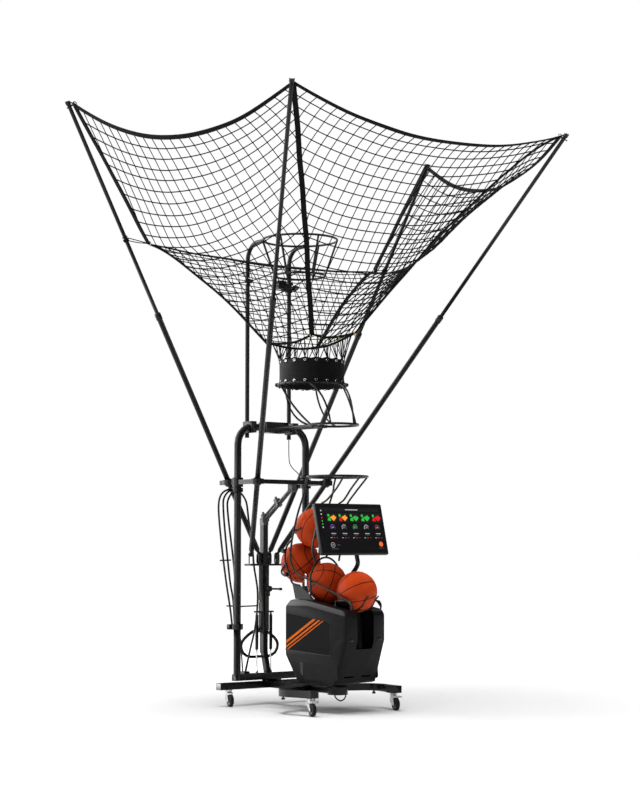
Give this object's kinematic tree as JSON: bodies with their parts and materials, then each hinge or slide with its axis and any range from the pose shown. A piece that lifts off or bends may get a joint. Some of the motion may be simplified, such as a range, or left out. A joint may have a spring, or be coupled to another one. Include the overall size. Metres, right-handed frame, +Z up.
{
  "type": "basketball shooting machine",
  "caption": "Wheeled ball-return shooting machine: poles spread a net funnel over a shot counter, wire ball chutes, a ball tower and a throwing launcher on a turntable with a tilting display.",
  "frame": {"origin": "centre of the bounding box at floor level, under the wheels", "axes": "+X the throwing direction, +Y to the left of it, +Z up"},
  "size_m": [1.7369, 2.8794, 3.5892],
  "materials": {
    "black_paint": "satin powder coat",
    "pole_alloy": "black satin coat",
    "zinc": "zinc plate",
    "steel": "bright",
    "rubber": "matt",
    "wheel_rubber": "matt",
    "housing_plastic": "fine texture",
    "panel": "smooth print sheet",
    "vinyl": "coated sheet",
    "net": "knotted cord",
    "ball": "pebbled",
    "screen": "gloss",
    "nylon": "plain"
  },
  "bodies": {
    "base": {"base_frame": "black_paint", "upright_frame": "black_paint", "guide_beam": "black_paint", "guide_post": "black_paint", "diagonal_strut": "black_paint", "gas_rod_left": "steel", "gas_rod_right": "steel", "turntable_base": "black_paint", "upper_chute": "black_paint", "net_collar": "vinyl", "gooseneck_left": "black_paint", "gooseneck_right": "black_paint", "sensor_box": "housing_plastic", "wire_guard": "black_paint", "sensor_lead": "rubber", "ring_steady_arm": "black_paint", "turntable_cable": "rubber"},
    "carriage": {"lift_sleeve": "black_paint", "ring_handle": "black_paint", "gas_cylinder_left": "black_paint", "gas_cylinder_right": "black_paint", "net_funnel": "net"},
    "lock_handle": {"lock_handle": "black_paint"},
    "counter": {"counter_hoop": "black_paint"},
    "launcher": {"turntable_plate": "black_paint", "housing_shell": "housing_plastic", "side_panel_left": "panel", "side_panel_right": "panel", "launcher_chassis": "black_paint", "arm_shaft": "steel", "drive_motor": "steel", "control_box": "housing_plastic", "ball_tower": "black_paint", "ball_1": "ball", "ball_2": "ball", "ball_3": "ball", "display_arm": "black_paint"},
    "throw_arm": {"throw_arm": "black_paint", "ball_4": "ball"},
    "display": {"display_panel": "housing_plastic", "display_screen": "screen"},
    "pole_rear_right": {"pole_rear_right": "pole_alloy"},
    "bush_rear_right": {"guide_bush_rear_right": "nylon"},
    "pole_rear_left": {"pole_rear_left": "pole_alloy"},
    "bush_rear_left": {"guide_bush_rear_left": "nylon"},
    "pole_front_right": {"pole_front_right": "pole_alloy"},
    "bush_front_right": {"guide_bush_front_right": "nylon"},
    "pole_front_left": {"pole_front_left": "pole_alloy"},
    "bush_front_left": {"guide_bush_front_left": "nylon"},
    "fork_rear_right": {"caster_fork_rear_right": "zinc"},
    "wheel_rear_right": {"caster_wheel_rear_right": "wheel_rubber"},
    "fork_rear_left": {"caster_fork_rear_left": "zinc"},
    "wheel_rear_left": {"caster_wheel_rear_left": "wheel_rubber"},
    "fork_front_right": {"caster_fork_front_right": "zinc"},
    "wheel_front_right": {"caster_wheel_front_right": "wheel_rubber"},
    "pedal_front_right": {"brake_pedal_front_right": "zinc"},
    "fork_front_left": {"caster_fork_front_left": "zinc"},
    "wheel_front_left": {"caster_wheel_front_left": "wheel_rubber"},
    "pedal_front_left": {"brake_pedal_front_left": "zinc"}
  },
  "joints": [
    {"name": "net_lift", "type": "slide", "parent": "base", "child": "carriage", "axis": [0, 0, 1], "range_m": [-0.12, 0], "deforming": ["net_funnel"]},
    {"name": "lock_handle_turn", "type": "hinge", "parent": "carriage", "child": "lock_handle", "pos_m": [-0.7822, 0, 0.706], "axis": [1, 0, 0], "range_deg": [0, 270]},
    {"name": "pole_rear_right_lean", "type": "hinge", "parent": "carriage", "child": "pole_rear_right", "pos_m": [-0.7822, -0.036, 0.917], "axis": [0.9996, -0.027, 0], "range_deg": [-5.33, 0.1]},
    {"name": "bush_rear_right_turn", "type": "hinge", "parent": "base", "child": "bush_rear_right", "pos_m": [-0.78843, -0.26706, 1.36], "axis": [0.9996, -0.027, 0], "range_deg": [-5.33, 0.1]},
    {"name": "pole_rear_left_lean", "type": "hinge", "parent": "carriage", "child": "pole_rear_left", "pos_m": [-0.7822, 0.036, 0.917], "axis": [-0.9996, -0.027, 0], "range_deg": [-5.33, 0.1]},
    {"name": "bush_rear_left_turn", "type": "hinge", "parent": "base", "child": "bush_rear_left", "pos_m": [-0.78843, 0.26706, 1.36], "axis": [-0.9996, -0.027, 0], "range_deg": [-5.33, 0.1]},
    {"name": "pole_front_right_lean", "type": "hinge", "parent": "carriage", "child": "pole_front_right", "pos_m": [-0.7822, -0.1, 0.917], "axis": [0.4986, 0.8668, 0], "range_deg": [-6.42, 0.1]},
    {"name": "bush_front_right_turn", "type": "hinge", "parent": "base", "child": "bush_front_right", "pos_m": [-0.49445, -0.26553, 1.36], "axis": [0.4986, 0.8668, 0], "range_deg": [-6.42, 0.1]},
    {"name": "pole_front_left_lean", "type": "hinge", "parent": "carriage", "child": "pole_front_left", "pos_m": [-0.7822, 0.1, 0.917], "axis": [-0.4986, 0.8668, 0], "range_deg": [-6.42, 0.1]},
    {"name": "bush_front_left_turn", "type": "hinge", "parent": "base", "child": "bush_front_left", "pos_m": [-0.49445, 0.26553, 1.36], "axis": [-0.4986, 0.8668, 0], "range_deg": [-6.42, 0.1]},
    {"name": "counter_fold", "type": "hinge", "parent": "base", "child": "counter", "pos_m": [-0.7422, 0, 2.62], "axis": [0, 1, 0], "range_deg": [-95, 0]},
    {"name": "launcher_turn", "type": "hinge", "parent": "base", "child": "launcher", "pos_m": [-0.0537, 0, 0.16], "axis": [0, 0, 1], "range_deg": [-100, 80]},
    {"name": "throw_arm_swing", "type": "hinge", "parent": "launcher", "child": "throw_arm", "pos_m": [0.10092, 0.02726, 0.33], "axis": [-0.1736, 0.9848, 0], "range_deg": [0, 26]},
    {"name": "display_tilt", "type": "hinge", "parent": "launcher", "child": "display", "pos_m": [-0.02007, 0.1, 1.02265], "axis": [0, 1, 0], "range_deg": [-8, 20]},
    {"name": "swivel_rear_right", "type": "hinge", "parent": "base", "child": "fork_rear_right", "pos_m": [-0.7152, -0.314, 0.1], "axis": [0, 0, 1], "continuous": true},
    {"name": "roll_rear_right", "type": "hinge", "parent": "fork_rear_right", "child": "wheel_rear_right", "pos_m": [-0.68815, -0.32125, 0.0375], "axis": [0.2588, 0.9659, 0], "continuous": true},
    {"name": "swivel_rear_left", "type": "hinge", "parent": "base", "child": "fork_rear_left", "pos_m": [-0.7152, 0.314, 0.1], "axis": [0, 0, 1], "continuous": true},
    {"name": "roll_rear_left", "type": "hinge", "parent": "fork_rear_left", "child": "wheel_rear_left", "pos_m": [-0.68815, 0.30675, 0.0375], "axis": [0.2588, 0.9659, 0], "continuous": true},
    {"name": "swivel_front_right", "type": "hinge", "parent": "base", "child": "fork_front_right", "pos_m": [0.0878, -0.314, 0.1], "axis": [0, 0, 1], "continuous": true},
    {"name": "roll_front_right", "type": "hinge", "parent": "fork_front_right", "child": "wheel_front_right", "pos_m": [0.11485, -0.32125, 0.0375], "axis": [0.2588, 0.9659, 0], "continuous": true},
    {"name": "brake_front_right", "type": "hinge", "parent": "fork_front_right", "child": "pedal_front_right", "pos_m": [0.1303, -0.32539, 0.0835], "axis": [0.2588, 0.9659, 0], "range_deg": [-12, 0]},
    {"name": "swivel_front_left", "type": "hinge", "parent": "base", "child": "fork_front_left", "pos_m": [0.0878, 0.314, 0.1], "axis": [0, 0, 1], "continuous": true},
    {"name": "roll_front_left", "type": "hinge", "parent": "fork_front_left", "child": "wheel_front_left", "pos_m": [0.11485, 0.30675, 0.0375], "axis": [0.2588, 0.9659, 0], "continuous": true},
    {"name": "brake_front_left", "type": "hinge", "parent": "fork_front_left", "child": "pedal_front_left", "pos_m": [0.1303, 0.30261, 0.0835], "axis": [0.2588, 0.9659, 0], "range_deg": [-12, 0]}
  ],
  "couplings": [
    {"joint": "pole_rear_right_lean", "follows": "net_lift", "rad_per_m": 0.76114},
    {"joint": "bush_rear_right_turn", "follows": "net_lift", "rad_per_m": 0.76114},
    {"joint": "pole_rear_left_lean", "follows": "net_lift", "rad_per_m": 0.76114},
    {"joint": "bush_rear_left_turn", "follows": "net_lift", "rad_per_m": 0.76114},
    {"joint": "pole_front_right_lean", "follows": "net_lift", "rad_per_m": 0.91938},
    {"joint": "bush_front_right_turn", "follows": "net_lift", "rad_per_m": 0.91938},
    {"joint": "pole_front_left_lean", "follows": "net_lift", "rad_per_m": 0.91938},
    {"joint": "bush_front_left_turn", "follows": "net_lift", "rad_per_m": 0.91938}
  ]
}
